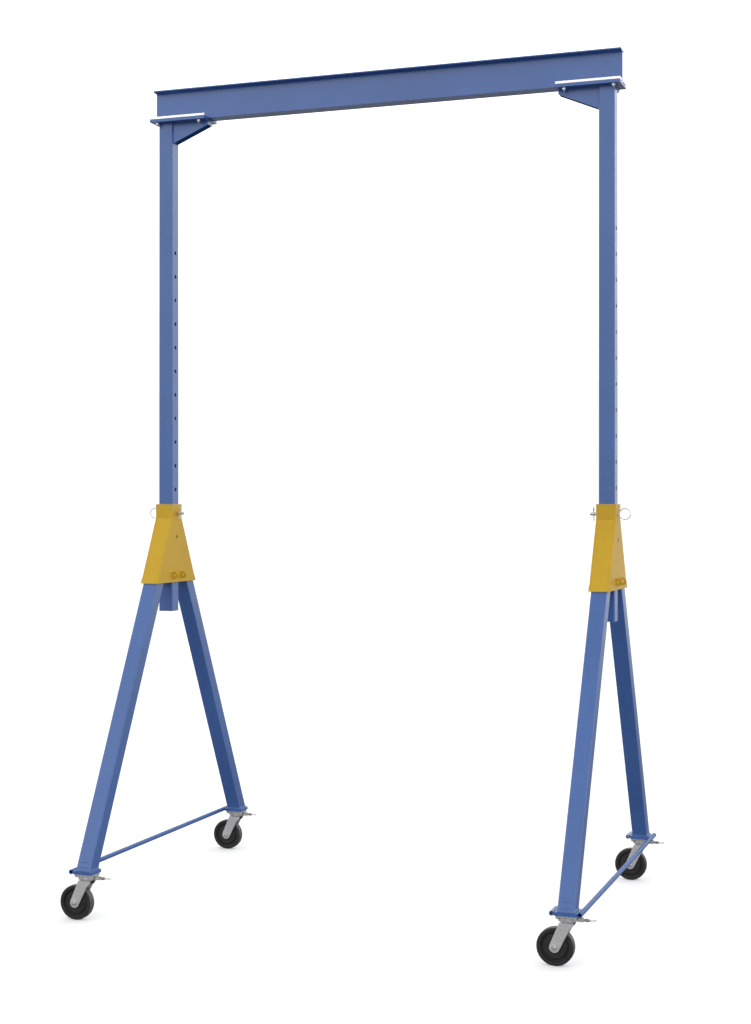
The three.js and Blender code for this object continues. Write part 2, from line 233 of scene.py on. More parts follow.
def wire(points, radius, sides=14, closed=False):
    """Round wire along points. radius is a number, or a function of the point's index."""
    pts = [Vector(p) for p in points]
    n = len(pts)
    tangents = []
    for i in range(n):
        if closed:
            d = pts[(i + 1) % n] - pts[i - 1]
        else:
            d = pts[min(i + 1, n - 1)] - pts[max(i - 1, 0)]
        tangents.append(d.normalized())
    t0 = tangents[0]
    u = t0.orthogonal().normalized()
    rings = []
    normals = []
    for i in range(n):
        if i:
            u = tangents[i - 1].rotation_difference(tangents[i]) @ u
        normals.append(u.copy())
    twist = 0.0
    if closed:
        last = tangents[-1].rotation_difference(tangents[0]) @ normals[-1]
        twist = normals[0].cross(last).dot(tangents[0])
        twist = math.atan2(twist, normals[0].dot(last))
    for i in range(n):
        a = -twist * i / n
        q = Matrix.Rotation(a, 3, tangents[i])
        e1 = q @ normals[i]
        e2 = tangents[i].cross(e1)
        r = radius(i) if callable(radius) else radius
        rings.append(
            [
                pts[i] + r * (math.cos(2 * math.pi * j / sides) * e1 + math.sin(2 * math.pi * j / sides) * e2)
                for j in range(sides)
            ]
        )
    if not closed:  # eased ends
        for end, k in ((0, 1), (-1, -1)):
            r = radius(0 if end == 0 else n - 1) if callable(radius) else radius
            d = tangents[end] * (-1 if end == 0 else 1)
            cap = [pts[end] + (p - pts[end]) * 0.62 + d * r * 0.42 for p in rings[end]]
            if end == 0:
                rings.insert(0, cap)
            else:
                rings.append(cap)
    return loft(rings, loop=closed)


def spaced(points, step, closed=False):
    """Points every step mm along a polyline."""
    pts = [Vector(p) for p in points]
    if closed:
        pts.append(pts[0])
    out = []
    for a, b in zip(pts, pts[1:]):
        n = max(1, int((b - a).length / step))
        out += [a + (b - a) * i / n for i in range(n)]
    if not closed:
        out.append(pts[-1])
    return out


def bead(points, r, closed=False, seed=0.0, ripple=0.13, pitch=3.4):
    """Weld bead: a rippled, slightly uneven run of metal along a line."""
    step = pitch / 3
    pts = spaced(points, step, closed)

    def rad(i):
        p = pts[i % len(pts)]
        wander = noise.noise(Vector((p.x * 0.05 + seed, p.y * 0.05, p.z * 0.05)))
        return r * (1 - ripple * (i % 3) / 2 + 0.14 * wander)

    return wire(pts, rad, sides=8, closed=closed)


def rrect(hx, hy, r, n=6):
    out = []
    for cx, cy, a in ((hx - r, hy - r, 0), (-hx + r, hy - r, 90), (-hx + r, -hy + r, 180), (hx - r, -hy + r, 270)):
        out += arc(cx, cy, r, a, a + 90, n)
    return out


def from_bm(bm):
    v = [tuple(x.co) for x in bm.verts]
    for i, x in enumerate(bm.verts):
        x.index = i
    f = [tuple(x.index for x in face.verts) for face in bm.faces]
    bm.free()
    return v, f


def to_bm(part):
    bm = bmesh.new()
    vs = [bm.verts.new(p) for p in part[0]]
    for f in part[1]:
        bm.faces.new([vs[i] for i in f])
    bm.normal_update()
    return bm


def eased(part, width, segments=2, over=30.0, choose=None):
    """The part with its sharp edges rounded."""
    bm = to_bm(part)
    bmesh.ops.recalc_face_normals(bm, faces=bm.faces)
    edges = []
    for e in bm.edges:
        if len(e.link_faces) == 2 and math.degrees(e.calc_face_angle(0.0)) > over:
            if choose is None or choose(e):
                edges.append(e)
    bmesh.ops.bevel(
        bm, geom=edges, offset=width, segments=segments, profile=0.5, affect="EDGES", clamp_overlap=True
    )
    return from_bm(bm)


def block(x0, y0, z0, x1, y1, z1, ease=1.0, segments=2):
    x0, x1 = min(x0, x1), max(x0, x1)
    y0, y1 = min(y0, y1), max(y0, y1)
    z0, z1 = min(z0, z1), max(z0, z1)
    ring = [(x0, y0), (x1, y0), (x1, y1), (x0, y1)]
    part = loft([[(x, y, z0) for x, y in ring], [(x, y, z1) for x, y in ring]])
    return eased(part, ease, segments) if ease else part


def prism(poly, axis, a, b, ease=1.0, segments=2, over=30.0, choose=None):
    """Outline pushed along an axis. For x the outline is (y, z), for y it is (x, z), for z it is (x, y)."""
    a, b = min(a, b), max(a, b)

    def p(u, w, t):
        return (t, u, w) if axis == "x" else (u, t, w) if axis == "y" else (u, w, t)

    part = loft([[p(u, w, a) for u, w in poly], [p(u, w, b) for u, w in poly]])
    bm = to_bm(part)
    bmesh.ops.recalc_face_normals(bm, faces=bm.faces)
    part = from_bm(bm)
    return eased(part, ease, segments, over, choose) if ease else part


def object_of(part, name):
    me = bpy.data.meshes.new(name)
    me.from_pydata([tuple(p) for p in part[0]], [], part[1])
    me.update()
    o = bpy.data.objects.new(name, me)
    bpy.context.scene.collection.objects.link(o)
    return o


def cut(part, *cutters):
    """The part less the cutters."""
    o = object_of(part, "cut_body")
    bm = bmesh.new()
    bm.from_mesh(o.data)
    bmesh.ops.recalc_face_normals(bm, faces=bm.faces)
    bm.to_mesh(o.data)
    bm.free()
    tools = []
    for c in cutters:
        k = object_of(c, "cut_tool")
        bm = bmesh.new()
        bm.from_mesh(k.data)
        bmesh.ops.recalc_face_normals(bm, faces=bm.faces)
        bm.to_mesh(k.data)
        bm.free()
        m = o.modifiers.new("b", "BOOLEAN")
        m.operation = "DIFFERENCE"
        m.solver = "EXACT"
        m.object = k
        tools.append(k)
    bpy.context.view_layer.update()
    dg = bpy.context.evaluated_depsgraph_get()
    me = bpy.data.meshes.new_from_object(o.evaluated_get(dg))
    out = ([tuple(v.co) for v in me.vertices], [tuple(p.vertices) for p in me.polygons])
    for x in [o, *tools]:
        data = x.data
        bpy.data.objects.remove(x)
        bpy.data.meshes.remove(data)
    bpy.data.meshes.remove(me)
    return out


def make(name, part, body, material, replaces=(), at=None, smooth=32.0, extra=()):
    """The finished object: part in mm, at is its own origin in mm. extra is [(part, material)] in the same object."""
    at = Vector(at or (0, 0, 0))
    v, f, mi, mats = [], [], [], [material]
    for p, m in [(part, material), *extra]:
        if m not in mats:
            mats.append(m)
        o = len(v)
        v += [tuple((Vector(q) - at) * 0.001) for q in p[0]]
        f += [tuple(i + o for i in face) for face in p[1]]
        mi += [mats.index(m)] * len(p[1])
    me = bpy.data.meshes.new(name)
    me.from_pydata(v, [], f)
    for m in mats:
        me.materials.append(m)
    me.polygons.foreach_set("material_index", mi)
    bm = bmesh.new()
    bm.from_mesh(me)
    bmesh.ops.recalc_face_normals(bm, faces=bm.faces)
    bm.to_mesh(me)
    bm.free()
    me.polygons.foreach_set("use_smooth", [True] * len(me.polygons))
    me.set_sharp_from_angle(angle=math.radians(smooth))
    me.update()
    o = bpy.data.objects.new(name, me)
    bpy.context.scene.collection.objects.link(o)
    o.location = at * 0.001
    w = o.modifiers.new("face_weighted", "WEIGHTED_NORMAL")
    w.keep_sharp = True
    w.weight = 80
    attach(o, body)
    if replaces:
        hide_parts(*replaces)
    return o


# ------------------------------------------------------------------ materials
def new_material(name):
    m = bpy.data.materials.new(name)
    m.use_nodes = True
    nt = m.node_tree
    nt.nodes.clear()
    out = nt.nodes.new("ShaderNodeOutputMaterial")
    sh = nt.nodes.new("ShaderNodeBsdfPrincipled")
    nt.links.new(sh.outputs[0], out.inputs[0])
    return m, nt, sh


def node(nt, kind, **values):
    n = nt.nodes.new(kind)
    for k, v in values.items():
        if k.startswith("in_"):
            n.inputs[k[3:].replace("__", " ")].default_value = v
        else:
            setattr(n, k, v)
    return n


def coords(nt, stretch=(1, 1, 1)):
    tc = node(nt, "ShaderNodeTexCoord")
    mp = node(nt, "ShaderNodeMapping")
    mp.inputs["Scale"].default_value = stretch
    nt.links.new(tc.outputs["Object"], mp.inputs["Vector"])
    return mp.outputs["Vector"]


def noise_tex(nt, vec, scale, detail=3.0, rough=0.5):
    n = node(nt, "ShaderNodeTexNoise")
    n.inputs["Scale"].default_value = scale
    n.inputs["Detail"].default_value = detail
    n.inputs["Roughness"].default_value = rough
    nt.links.new(vec, n.inputs["Vector"])
    return n.outputs["Fac"]


def math_node(nt, op, a, b=0.5, c=0.0, clamp=False):
    n = node(nt, "ShaderNodeMath", operation=op, use_clamp=clamp)
    for i, x in enumerate((a, b, c)):
        if hasattr(x, "is_linked"):
            nt.links.new(x, n.inputs[i])
        else:
            n.inputs[i].default_value = x
    return n.outputs[0]


def ramp(nt, fac, lo, hi, a=0.0, b=1.0, smooth=True):
    n = node(nt, "ShaderNodeMapRange")
    n.interpolation_type = "SMOOTHSTEP" if smooth else "LINEAR"
    n.clamp = True if not smooth else n.clamp
    nt.links.new(fac, n.inputs["Value"])
    n.inputs["From Min"].default_value = lo
    n.inputs["From Max"].default_value = hi
    n.inputs["To Min"].default_value = a
    n.inputs["To Max"].default_value = b
    return n.outputs["Result"]


def mix(nt, fac, a, b, blend="MIX"):
    n = node(nt, "ShaderNodeMix", data_type="RGBA", blend_type=blend)
    if hasattr(fac, "is_linked"):
        nt.links.new(fac, n.inputs[0])
    else:
        n.inputs[0].default_value = fac
    for x, i in ((a, 6), (b, 7)):
        if hasattr(x, "is_linked"):
            nt.links.new(x, n.inputs[i])
        else:
            n.inputs[i].default_value = (*x, 1.0)
    return n.outputs[2]


def bump(nt, height, strength, distance, normal=None):
    n = node(nt, "ShaderNodeBump")
    n.inputs["Strength"].default_value = strength
    n.inputs["Distance"].default_value = distance
    nt.links.new(height, n.inputs["Height"])
    if normal is not None:
        nt.links.new(normal, n.inputs["Normal"])
    return n.outputs["Normal"]


def up_facing(nt):
    g = node(nt, "ShaderNodeNewGeometry")
    s = node(nt, "ShaderNodeSeparateXYZ")
    nt.links.new(g.outputs["Normal"], s.inputs[0])
    return s.outputs["Z"]


def enamel(name, base, pale, deep, chip, rough=0.36, wear=0.0, coat=0.6, spec=0.5, dusty=1.0):
    """Sprayed machine enamel: fine orange peel, slow tone drift, settled dust, rub marks and small nicks."""
    m, nt, sh = new_material(name)
    vec = coords(nt)
    drift = noise_tex(nt, vec, 1.3, 4.0, 0.55)
    mottle = noise_tex(nt, vec, 26.0, 5.0, 0.6)
    col = mix(nt, ramp(nt, drift, 0.35, 0.68, 0.0, 1.0), deep, base)
    col = mix(nt, ramp(nt, mottle, 0.42, 0.75, 0.0, 0.30), col, pale)
    # runs: long faint streaks down the steel
    streak = noise_tex(nt, coords(nt, (1.0, 1.0, 0.035)), 95.0, 3.0, 0.6)
    col = mix(nt, ramp(nt, streak, 0.55, 0.80, 0.0, 0.16), col, deep)
    # dust on what faces up
    dust_noise = noise_tex(nt, vec, 60.0, 5.0, 0.65)
    up = ramp(nt, up_facing(nt), 0.55, 0.95, 0.0, 1.0)
    dust = math_node(nt, "MULTIPLY", up, ramp(nt, dust_noise, 0.35, 0.7, 0.04 * dusty, 0.30 * dusty))
    col = mix(nt, dust, col, (0.42, 0.42, 0.43))
    # fine rub marks and nicks that show the primer
    scuff = noise_tex(nt, coords(nt, (1.0, 1.0, 0.22)), 160.0, 6.0, 0.72)
    place = noise_tex(nt, vec, 5.0, 2.0, 0.5)
    nick = math_node(nt, "MULTIPLY", ramp(nt, scuff, 0.71, 0.76, 0.0, 1.0), ramp(nt, place, 0.52, 0.66, 0.0, 0.55 + wear))
    col = mix(nt, nick, col, chip)
    nt.links.new(col, sh.inputs["Base Color"])
    r = math_node(nt, "ADD", ramp(nt, mottle, 0.3, 0.75, rough - 0.05, rough + 0.08), math_node(nt, "MULTIPLY", nick, 0.25))
    r = math_node(nt, "ADD", r, math_node(nt, "MULTIPLY", dust, 0.5), clamp=True)
    nt.links.new(r, sh.inputs["Roughness"])
    peel = noise_tex(nt, vec, 310.0, 2.0, 0.5)
    wave = noise_tex(nt, vec, 34.0, 2.0, 0.5)
    n1 = bump(nt, peel, 0.16, 0.0006)
    n2 = bump(nt, wave, 0.10, 0.0012, n1)
    n3 = bump(nt, math_node(nt, "SUBTRACT", 1.0, nick), 0.2, 0.0002, n2)
    nt.links.new(n3, sh.inputs["Normal"])
    sh.inputs["IOR"].default_value = 1.5
    sh.inputs["Specular IOR Level"].default_value = spec
    sh.inputs["Coat Weight"].default_value = coat
    sh.inputs["Coat Roughness"].default_value = 0.22
    sh.inputs["Coat IOR"].default_value = 1.5
    return m


def zinc(name, base, dark, tint, rough=0.34, metal=1.0, brushed=(1, 1, 1), speckle=140.0, spangle=0.25, bumpy=0.12):
    """Plated or galvanised steel: spangle, rolling marks, faint passivation tint and dull patches."""
    m, nt, sh = new_material(name)
    vec = coords(nt)
    vor = node(nt, "ShaderNodeTexVoronoi")
    vor.inputs["Scale"].default_value = speckle
    nt.links.new(vec, vor.inputs["Vector"])
    sep = node(nt, "ShaderNodeSeparateColor")
    nt.links.new(vor.outputs["Color"], sep.inputs[0])
    col = mix(nt, ramp(nt, sep.outputs[0], 0.0, 1.0, 0.0, spangle, smooth=False), base, dark)
    patch = noise_tex(nt, vec, 22.0, 5.0, 0.6)
    col = mix(nt, ramp(nt, patch, 0.45, 0.72, 0.0, 0.45), col, tint)
    grime = noise_tex(nt, vec, 75.0, 6.0, 0.7)
    col = mix(nt, ramp(nt, grime, 0.56, 0.80, 0.0, 0.45), col, dark)
    nt.links.new(col, sh.inputs["Base Color"])
    brush = noise_tex(nt, coords(nt, brushed), 420.0, 3.0, 0.6)
    r = math_node(nt, "ADD", ramp(nt, patch, 0.3, 0.75, rough - 0.07, rough + 0.14), ramp(nt, brush, 0.3, 0.7, -0.03, 0.05))
    nt.links.new(r, sh.inputs["Roughness"])
    n1 = bump(nt, brush, bumpy, 0.0003)
    n2 = bump(nt, grime, bumpy, 0.0005, n1)
    nt.links.new(n2, sh.inputs["Normal"])
    sh.inputs["Metallic"].default_value = metal
    return m


def phenolic(name):
    """Moulded phenolic wheel: flecked filler, matt skin, a tread painted paler than the sides (partly rub wear, partly
    a painted reflection of the sky), and painted shade darkening the recessed ring between hub and tread.
    """
    m, nt, sh = new_material(name)
    tc = node(nt, "ShaderNodeTexCoord")
    vec = tc.outputs["Object"]
    fleck = noise_tex(nt, vec, 520.0, 3.0, 0.65)
    cloud = noise_tex(nt, vec, 30.0, 4.0, 0.6)
    col = mix(nt, ramp(nt, cloud, 0.35, 0.7, 0.0, 1.0), (0.0085, 0.0085, 0.009), (0.017, 0.017, 0.017))
    col = mix(nt, ramp(nt, fleck, 0.60, 0.74, 0.0, 0.55), col, (0.060, 0.057, 0.053))
    s = node(nt, "ShaderNodeSeparateXYZ")
    nt.links.new(vec, s.inputs[0])
    r2 = math_node(nt, "ADD", math_node(nt, "MULTIPLY", s.outputs[0], s.outputs[0]), math_node(nt, "MULTIPLY", s.outputs[2], s.outputs[2]))
    rad = math_node(nt, "SQRT", r2, 0.0)
    tread = ramp(nt, rad, 0.0975, 0.1008, 0.0, 1.0)
    scrape = noise_tex(nt, coords(nt, (1, 6, 1)), 70.0, 6.0, 0.7)
    # Paler tread: partly rub wear, partly a painted reflection of the sky on the tread.
    tread_wear_and_sheen = math_node(nt, "MULTIPLY", tread, ramp(nt, scrape, 0.30, 0.70, 0.25, 0.85))
    col = mix(nt, tread_wear_and_sheen, col, (0.135, 0.133, 0.129))
    # Painted shade: the recessed ring between hub and tread is darkened almost to black, standing in for the shade that
    # falls in it.
    recess_painted_shade = math_node(nt, "MULTIPLY", ramp(nt, rad, 0.0632, 0.0662, 0.0, 1.0), ramp(nt, rad, 0.0765, 0.0800, 1.0, 0.0))
    col = mix(nt, math_node(nt, "MULTIPLY", recess_painted_shade, 0.92), col, (0.0035, 0.0035, 0.0035))
    nt.links.new(col, sh.inputs["Base Color"])
    # faint turning rings on the faces
    ring = math_node(nt, "SINE", math_node(nt, "MULTIPLY", rad, 5200.0), 0.0)
    nt.links.new(ramp(nt, cloud, 0.3, 0.7, 0.44, 0.60), sh.inputs["Roughness"])
    n1 = bump(nt, fleck, 0.22, 0.0004)
    n2 = bump(nt, ring, 0.05, 0.0002, n1)
    n3 = bump(nt, scrape, 0.12, 0.0006, n2)
    nt.links.new(n3, sh.inputs["Normal"])
    sh.inputs["IOR"].default_value = 1.5
    return m


BLUE = enamel("blue_enamel", (0.038, 0.124, 0.385), (0.058, 0.152, 0.420), (0.030, 0.104, 0.335), (0.30, 0.31, 0.33))
BLUE_POST = enamel("blue_enamel_post", (0.038, 0.122, 0.375), (0.058, 0.150, 0.410), (0.030, 0.102, 0.330), (0.33, 0.34, 0.36), rough=0.38, wear=0.35)
BLUE_PIPE = enamel("blue_enamel_pipe", (0.036, 0.116, 0.365), (0.052, 0.142, 0.400), (0.030, 0.100, 0.325), (0.30, 0.31, 0.33), rough=0.50, coat=0.12, spec=0.36, dusty=0.2)
YELLOW = enamel("yellow_enamel", (0.625, 0.385, 0.010), (0.655, 0.420, 0.018), (0.560, 0.335, 0.007), (0.24, 0.22, 0.20), rough=0.44, wear=0.2, coat=0.0, spec=0.42)
ZINC = zinc("zinc_bright", (0.74, 0.75, 0.76), (0.42, 0.43, 0.44), (0.72, 0.70, 0.60), rough=0.30, brushed=(0.06, 1, 1))
ZINC_BAR = zinc("zinc_bar", (0.90, 0.90, 0.91), (0.62, 0.63, 0.66), (0.84, 0.84, 0.86), rough=0.36, brushed=(0.03, 1, 1), spangle=0.2)
GALV = zinc("galvanised_fork", (0.58, 0.58, 0.58), (0.34, 0.34, 0.35), (0.64, 0.64, 0.62), rough=0.46, metal=0.45, speckle=230.0, spangle=0.5, bumpy=0.3)
OLIVE = zinc("zinc_olive", (0.36, 0.35, 0.28), (0.16, 0.16, 0.13), (0.44, 0.42, 0.30), rough=0.36, metal=0.85, speckle=300.0)
BLACK = phenolic("moulded_phenolic")


# ------------------------------------------------------------------ bridge beam
def beam_profile():
    f, w, z0, z1 = 51.0, 3.5, BEAM_Z0, BEAM_Z0 + BEAM_H
    tip, root = 7.5, 13.0
    right = []
    right += [(f, z0 + 0.0)]
    # lower flange: toe radius, taper, root fillet
    right += arc(f - 1.5, z0 + tip - 1.5, 1.5, 0, 84, 4)
    right += arc(w + 8.5, z0 + root + 8.0, 8.4, 264, 180, 7)
    right += list(reversed([(y, 2 * (z0 + z1) / 2 - z) for y, z in arc(w + 8.5, z0 + root + 8.0, 8.4, 264, 180, 7)]))
    right += list(reversed([(y, z0 + z1 - z) for y, z in arc(f - 1.5, z0 + tip - 1.5, 1.5, 0, 84, 4)]))
    right += [(f, z1)]
    return right + [(-y, z) for y, z in reversed(right)]


def beam():
    prof = beam_profile()
    n = 9
    rings = []
    for i in range(n):
        x = X0 - BEAM_L / 2 + BEAM_L * i / (n - 1)
        rings.append([(x, y, z) for y, z in prof])
    part = eased(loft(rings), 0.9, 2, 60.0)
    return part


make("bridge_beam_rolled", beam(), "upper_frame", BLUE, ["bridge_beam"])


# ------------------------------------------------------------------ square tube with a column of holes
def holed_tube(h, r_out, wall, z0, z1, holes, hole_r):
    """Closed square tube round local Z with round corners and, on both X walls, holes at the given heights."""
    flat = h - r_out
    side = 8
    cell = 22.0
    levels = [z0 + 1.2]
    z = z0 + 1.2
    for c in sorted(holes):
        levels += [c - cell + 2 * cell * i / side for i in range(side + 1)]
    levels += [z1 - 1.2]
    marks = set(sorted(holes))
    ys = [-flat, *[-cell + 2 * cell * i / side for i in range(side + 1)], flat]
    r_in = max(1.5, r_out - wall)
    flat_in = h - wall - r_in

    verts, faces, index = [], [], {}

    def vid(p):
        k = (round(p[0], 3), round(p[1], 3), round(p[2], 3))
        if k not in index:
            index[k] = len(verts)
            verts.append(k)
        return index[k]

    def quad(a, b, c, d):
        ids = [vid(a), vid(b), vid(c), vid(d)]
        if len(set(ids)) == 4:
            faces.append(tuple(ids))

    def wall_x(sx, d, ysl):
        """flat wall at x = sx*d with square cells left out round each hole"""
        for za, zb in zip(levels, levels[1:]):
            for ya, yb in zip(ysl, ysl[1:]):
                mid_z, mid_y = (za + zb) / 2, (ya + yb) / 2
                if abs(mid_y) < cell and any(abs(mid_z - c) < cell for c in marks):
                    continue
                quad((sx * d, ya, za), (sx * d, yb, za), (sx * d, yb, zb), (sx * d, ya, zb))

    def square(c):
        s = [(-cell + 2 * cell * i / side, -cell) for i in range(side)]
        s += [(cell, -cell + 2 * cell * i / side) for i in range(side)]
        s += [(cell - 2 * cell * i / side, cell) for i in range(side)]
        s += [(-cell, cell - 2 * cell * i / side) for i in range(side)]
        return [(y, c + z) for y, z in s]

    def circle(c, r):
        out = []
        for i in range(4 * side):
            a = math.radians(225 + 360 * i / (4 * side))
            out.append((r * math.cos(a), c + r * math.sin(a)))
        return out

    for sx in (-1, 1):
        wall_x(sx, h, ys)
        ys_in = [-flat_in, *ys[1:-1], flat_in]
        wall_x(sx, h - wall, ys_in)
        for c in marks:
            loops = [
                [(sx * h, y, z) for y, z in square(c)],
                [(sx * h, y, z) for y, z in circle(c, hole_r + 3.2)],
                [(sx * h, y, z) for y, z in circle(c, hole_r + 0.9)],
                [(sx * (h - 0.35), y, z) for y, z in circle(c, hole_r + 0.3)],
                [(sx * (h - 1.1), y, z) for y, z in circle(c, hole_r)],
                [(sx * (h - wall + 0.4), y, z) for y, z in circle(c, hole_r)],
                [(sx * (h - wall), y, z) for y, z in circle(c, hole_r + 0.5)],
                [(sx * (h - wall), y, z) for y, z in square(c)],
            ]
            n = 4 * side
            for la, lb in zip(loops, loops[1:]):
                for i in range(n):
                    j = (i + 1) % n
                    quad(la[i], la[j], lb[j], lb[i])
    # rounded corners and Y walls, outside then inside
    outer, inner = [], []
    for cx, cy, a in ((1, 1, 0), (-1, 1, 90), (-1, -1, 180), (1, -1, 270)):
        outer.append(arc(cx * flat, cy * flat, r_out, a, a + 90, 6))
        inner.append(arc(cx * flat_in, cy * flat_in, r_in, a, a + 90, 6))
    for group, hh in ((outer, h), (inner, h - wall)):
        for g in group:
            for p, q in zip(g, g[1:]):
                for za, zb in zip(levels, levels[1:]):
                    quad((*p, za), (*q, za), (*q, zb), (*p, zb))
        for a, b in ((group[0][-1], group[1][0]), (group[2][-1], group[3][0])):
            for za, zb in zip(levels, levels[1:]):
                quad((*a, za), (*b, za), (*b, zb), (*a, zb))
    # end rims: outer loop, eased edge, flat annulus, inner loop
    for z_in, z_end in ((levels[0], z0), (levels[-1], z1)):
        o_pts = []
        i_pts = []
        for k, (g, gi) in enumerate(zip(outer, inner)):
            o_pts += g
            i_pts += gi
            if k in (1, 3):  # along the X walls the wall's own points come in
                sx = -1 if k == 1 else 1
                seq = list(reversed(ys[1:-1])) if k == 1 else ys[1:-1]
                o_pts += [(sx * h, y) for y in seq]
                i_pts += [(sx * (h - wall), y) for y in seq]
        n = len(o_pts)

        def pull(pts, d):
            out = []
            for x, y in pts:
                m = max(abs(x), abs(y))
                s = (m + d) / m
                out.append((x * s, y * s))
            return out

        loops = [
            [(x, y, z_in) for x, y in o_pts],
            [(x, y, z_end + (0.35 if z_in > z_end else -0.35)) for x, y in pull(o_pts, -0.35)],
            [(x, y, z_end) for x, y in pull(o_pts, -1.2)],
            [(x, y, z_end) for x, y in pull(i_pts, 0.6)],
            [(x, y, z_in) for x, y in i_pts],
        ]
        for la, lb in zip(loops, loops[1:]):
            for i in range(n):
                j = (i + 1) % n
                quad(la[i], la[j], lb[j], lb[i])
    return verts, faces


def slanted_tube(h, r_out, wall, z0, z1, q):
    """Leg: square tube leaning outwards as it goes down, cut level at both ends."""
    t = (LEG_Y_FOOT - LEG_Y_TOP) / (HEAD_LOW - FOOT_Z1)
    k = math.hypot(1, t)

    def mid(z):
        return q * (LEG_Y_TOP + t * (HEAD_LOW - z))

    outer = rrect(h, h, r_out, 6)
    inner = rrect(h - wall, h - wall, max(1.5, r_out - wall), 6)

    def ring(sec, z, grow=0.0):
        out = []
        for x, y in sec:
            m = max(abs(x), abs(y))
            s = (m + grow) / m
            out.append((x * s, mid(z) + y * s * k, z))
        return out

    zs = [z0 + 1.2 + (z1 - z0 - 2.4) * i / 12 for i in range(13)]
    rings = [ring(outer, z0, -1.0)] + [ring(outer, z) for z in zs] + [ring(outer, z1, -1.0)]
    rings += [ring(inner, z1)] + [ring(inner, z) for z in reversed(zs)] + [ring(inner, z0)]
    return loft(rings, loop=True)


# ------------------------------------------------------------------ A-frame head
def head(cx):
    k = (HFOOT_Y - NECK_Y) / (HEAD_SHOULDER - HEAD_LOW)
    parts = []
    cheek = [(-HFOOT_Y, HEAD_LOW), (HFOOT_Y, HEAD_LOW), (NECK_Y, HEAD_SHOULDER), (NECK_Y, HEAD_TOP), (-NECK_Y, HEAD_TOP), (-NECK_Y, HEAD_SHOULDER)]
    drills = [aim(lathe([(10.8, -30), (10.8, 30)], 48), "x", (0, 0, z)) for z in (PIN_Z, PIN_Z - PITCH)]
    for s in (-1, 1):
        plate = prism(cheek, "x", s * (BORE + 0.0), s * HEAD_X, 1.5, 3)
        plate = cut(plate, *[shift(d, s * 54) for d in drills])
        parts.append(plate)
        # pressed eyelet round each pin hole
        for z in (PIN_Z, PIN_Z - PITCH):
            parts.append(aim(washer(14.6, 10.9, 0, 1.0, 48), "x" if s > 0 else "-x", (s * (HEAD_X - 0.3), 0, z)))
        # band along the lower edge
        fy, ty = HFOOT_Y - 0.4, HFOOT_Y - 0.4 - k * 35
        parts.append(prism([(-fy, HEAD_LOW), (fy, HEAD_LOW), (ty, HEAD_LOW + 35), (-ty, HEAD_LOW + 35)], "x", s * (HEAD_X - 0.5), s * (HEAD_X + 2.5), 1.1, 2))
        # lugs with their eyes, and the welds round them
        for ly in (-60, 60):
            ez, er, reach = HEAD_LOW + 47, 21.5, 16.5
            pts = [(s * (HEAD_X - 0.8), ez - er), (s * (HEAD_X + reach), ez - er)]
            pts += [(s * u, w) for u, w in arc(HEAD_X + reach, ez, er, -90, 90, 28)][1:]
            pts += [(s * (HEAD_X - 0.8), ez + er)]
            lug = prism(pts, "y", ly - 5, ly + 5, 1.3, 3, 40)
            eye = aim(lathe([(9.0, -20), (9.0, 20)], 48), "y", (s * (HEAD_X + reach), ly, ez))
            parts.append(cut(lug, eye))
            for e in (-1, 1):
                parts.append(bead([(s * (HEAD_X + 1.2), ly + e * 6.0, ez - er + 2), (s * (HEAD_X + 1.2), ly + e * 6.0, ez + er - 1)], 2.6, seed=ly + e + s))
            parts.append(bead([(s * (HEAD_X + 1.2), ly - 5, ez + er + 0.6), (s * (HEAD_X + 1.2), ly + 5, ez + er + 0.6)], 2.4, seed=3))
    t = 7.4
    for q in (-1, 1):
        # sloping plate between the cheeks, then its lower edge strip
        sl = [(q * HFOOT_Y, HEAD_LOW), (q * (NECK_Y + 0.1), HEAD_SHOULDER - 0.1), (q * (NECK_Y - t - 0.6), HEAD_SHOULDER - 0.1), (q * (HFOOT_Y - t - 0.6), HEAD_LOW)]
        parts.append(prism(sl, "x", -BORE + 0.15, BORE - 0.15, 1.0, 2))
        low = [(q * (HFOOT_Y + 0.9), HEAD_LOW), (q * (HFOOT_Y + 0.9 - k * 14), HEAD_LOW + 14), (q * (HFOOT_Y - 2 - k * 14), HEAD_LOW + 14), (q * (HFOOT_Y - 2), HEAD_LOW)]
        parts.append(prism(low, "x", -HEAD_X + 0.4, HEAD_X - 0.4, 0.6, 2))
        # collar wall and the guide plate that runs down beside the post
        parts.append(block(-BORE + 0.15, q * BORE, HEAD_SHOULDER + 0.2, BORE - 0.15, q * NECK_Y, HEAD_TOP, 1.3, 3))
        parts.append(block(-BORE + 0.2, q * BORE, HEAD_LOW + 1, BORE - 0.2, q * (BORE + 8.8), HEAD_SHOULDER + 0.2, 1.0, 2))
        # seam welds where the sloping plate meets the cheeks and the collar
        for s in (-1, 1):
            a = (s * (BORE + 0.2), q * (HFOOT_Y - k * 15 + 0.1), HEAD_LOW + 15)
            b = (s * (BORE + 0.2), q * (NECK_Y + 0.1), HEAD_SHOULDER)
            parts.append(bead([a, b], 1.15, seed=s + 5 * q, pitch=4.2))
            parts.append(bead([b, (s * (BORE + 0.2), q * (NECK_Y - 0.2), HEAD_TOP - 2)], 1.0, seed=s + 7 * q, pitch=4.2))
        parts.append(bead([(-HEAD_X + 2, q * (NECK_Y + 0.3), HEAD_SHOULDER), (HEAD_X - 2, q * (NECK_Y + 0.3), HEAD_SHOULDER)], 1.6, seed=q, pitch=4.2))
        # weld where the leg comes out
        y_out = LEG_Y_TOP + 53.0
        parts.append(bead([(-LEG_H + 6, q * (y_out + 0.6), HEAD_LOW - 0.6), (LEG_H - 6, q * (y_out + 0.6), HEAD_LOW - 0.6)], 3.0, seed=q * 2))
        for s in (-1, 1):
            parts.append(bead([(s * (LEG_H + 1.0), q * (y_out - 8), HEAD_LOW - 0.4), (s * (LEG_H + 1.0), q * (LEG_Y_TOP - 46), HEAD_LOW - 0.4)], 2.6, seed=q * 3 + s))
    return shift(merged(*parts), cx)


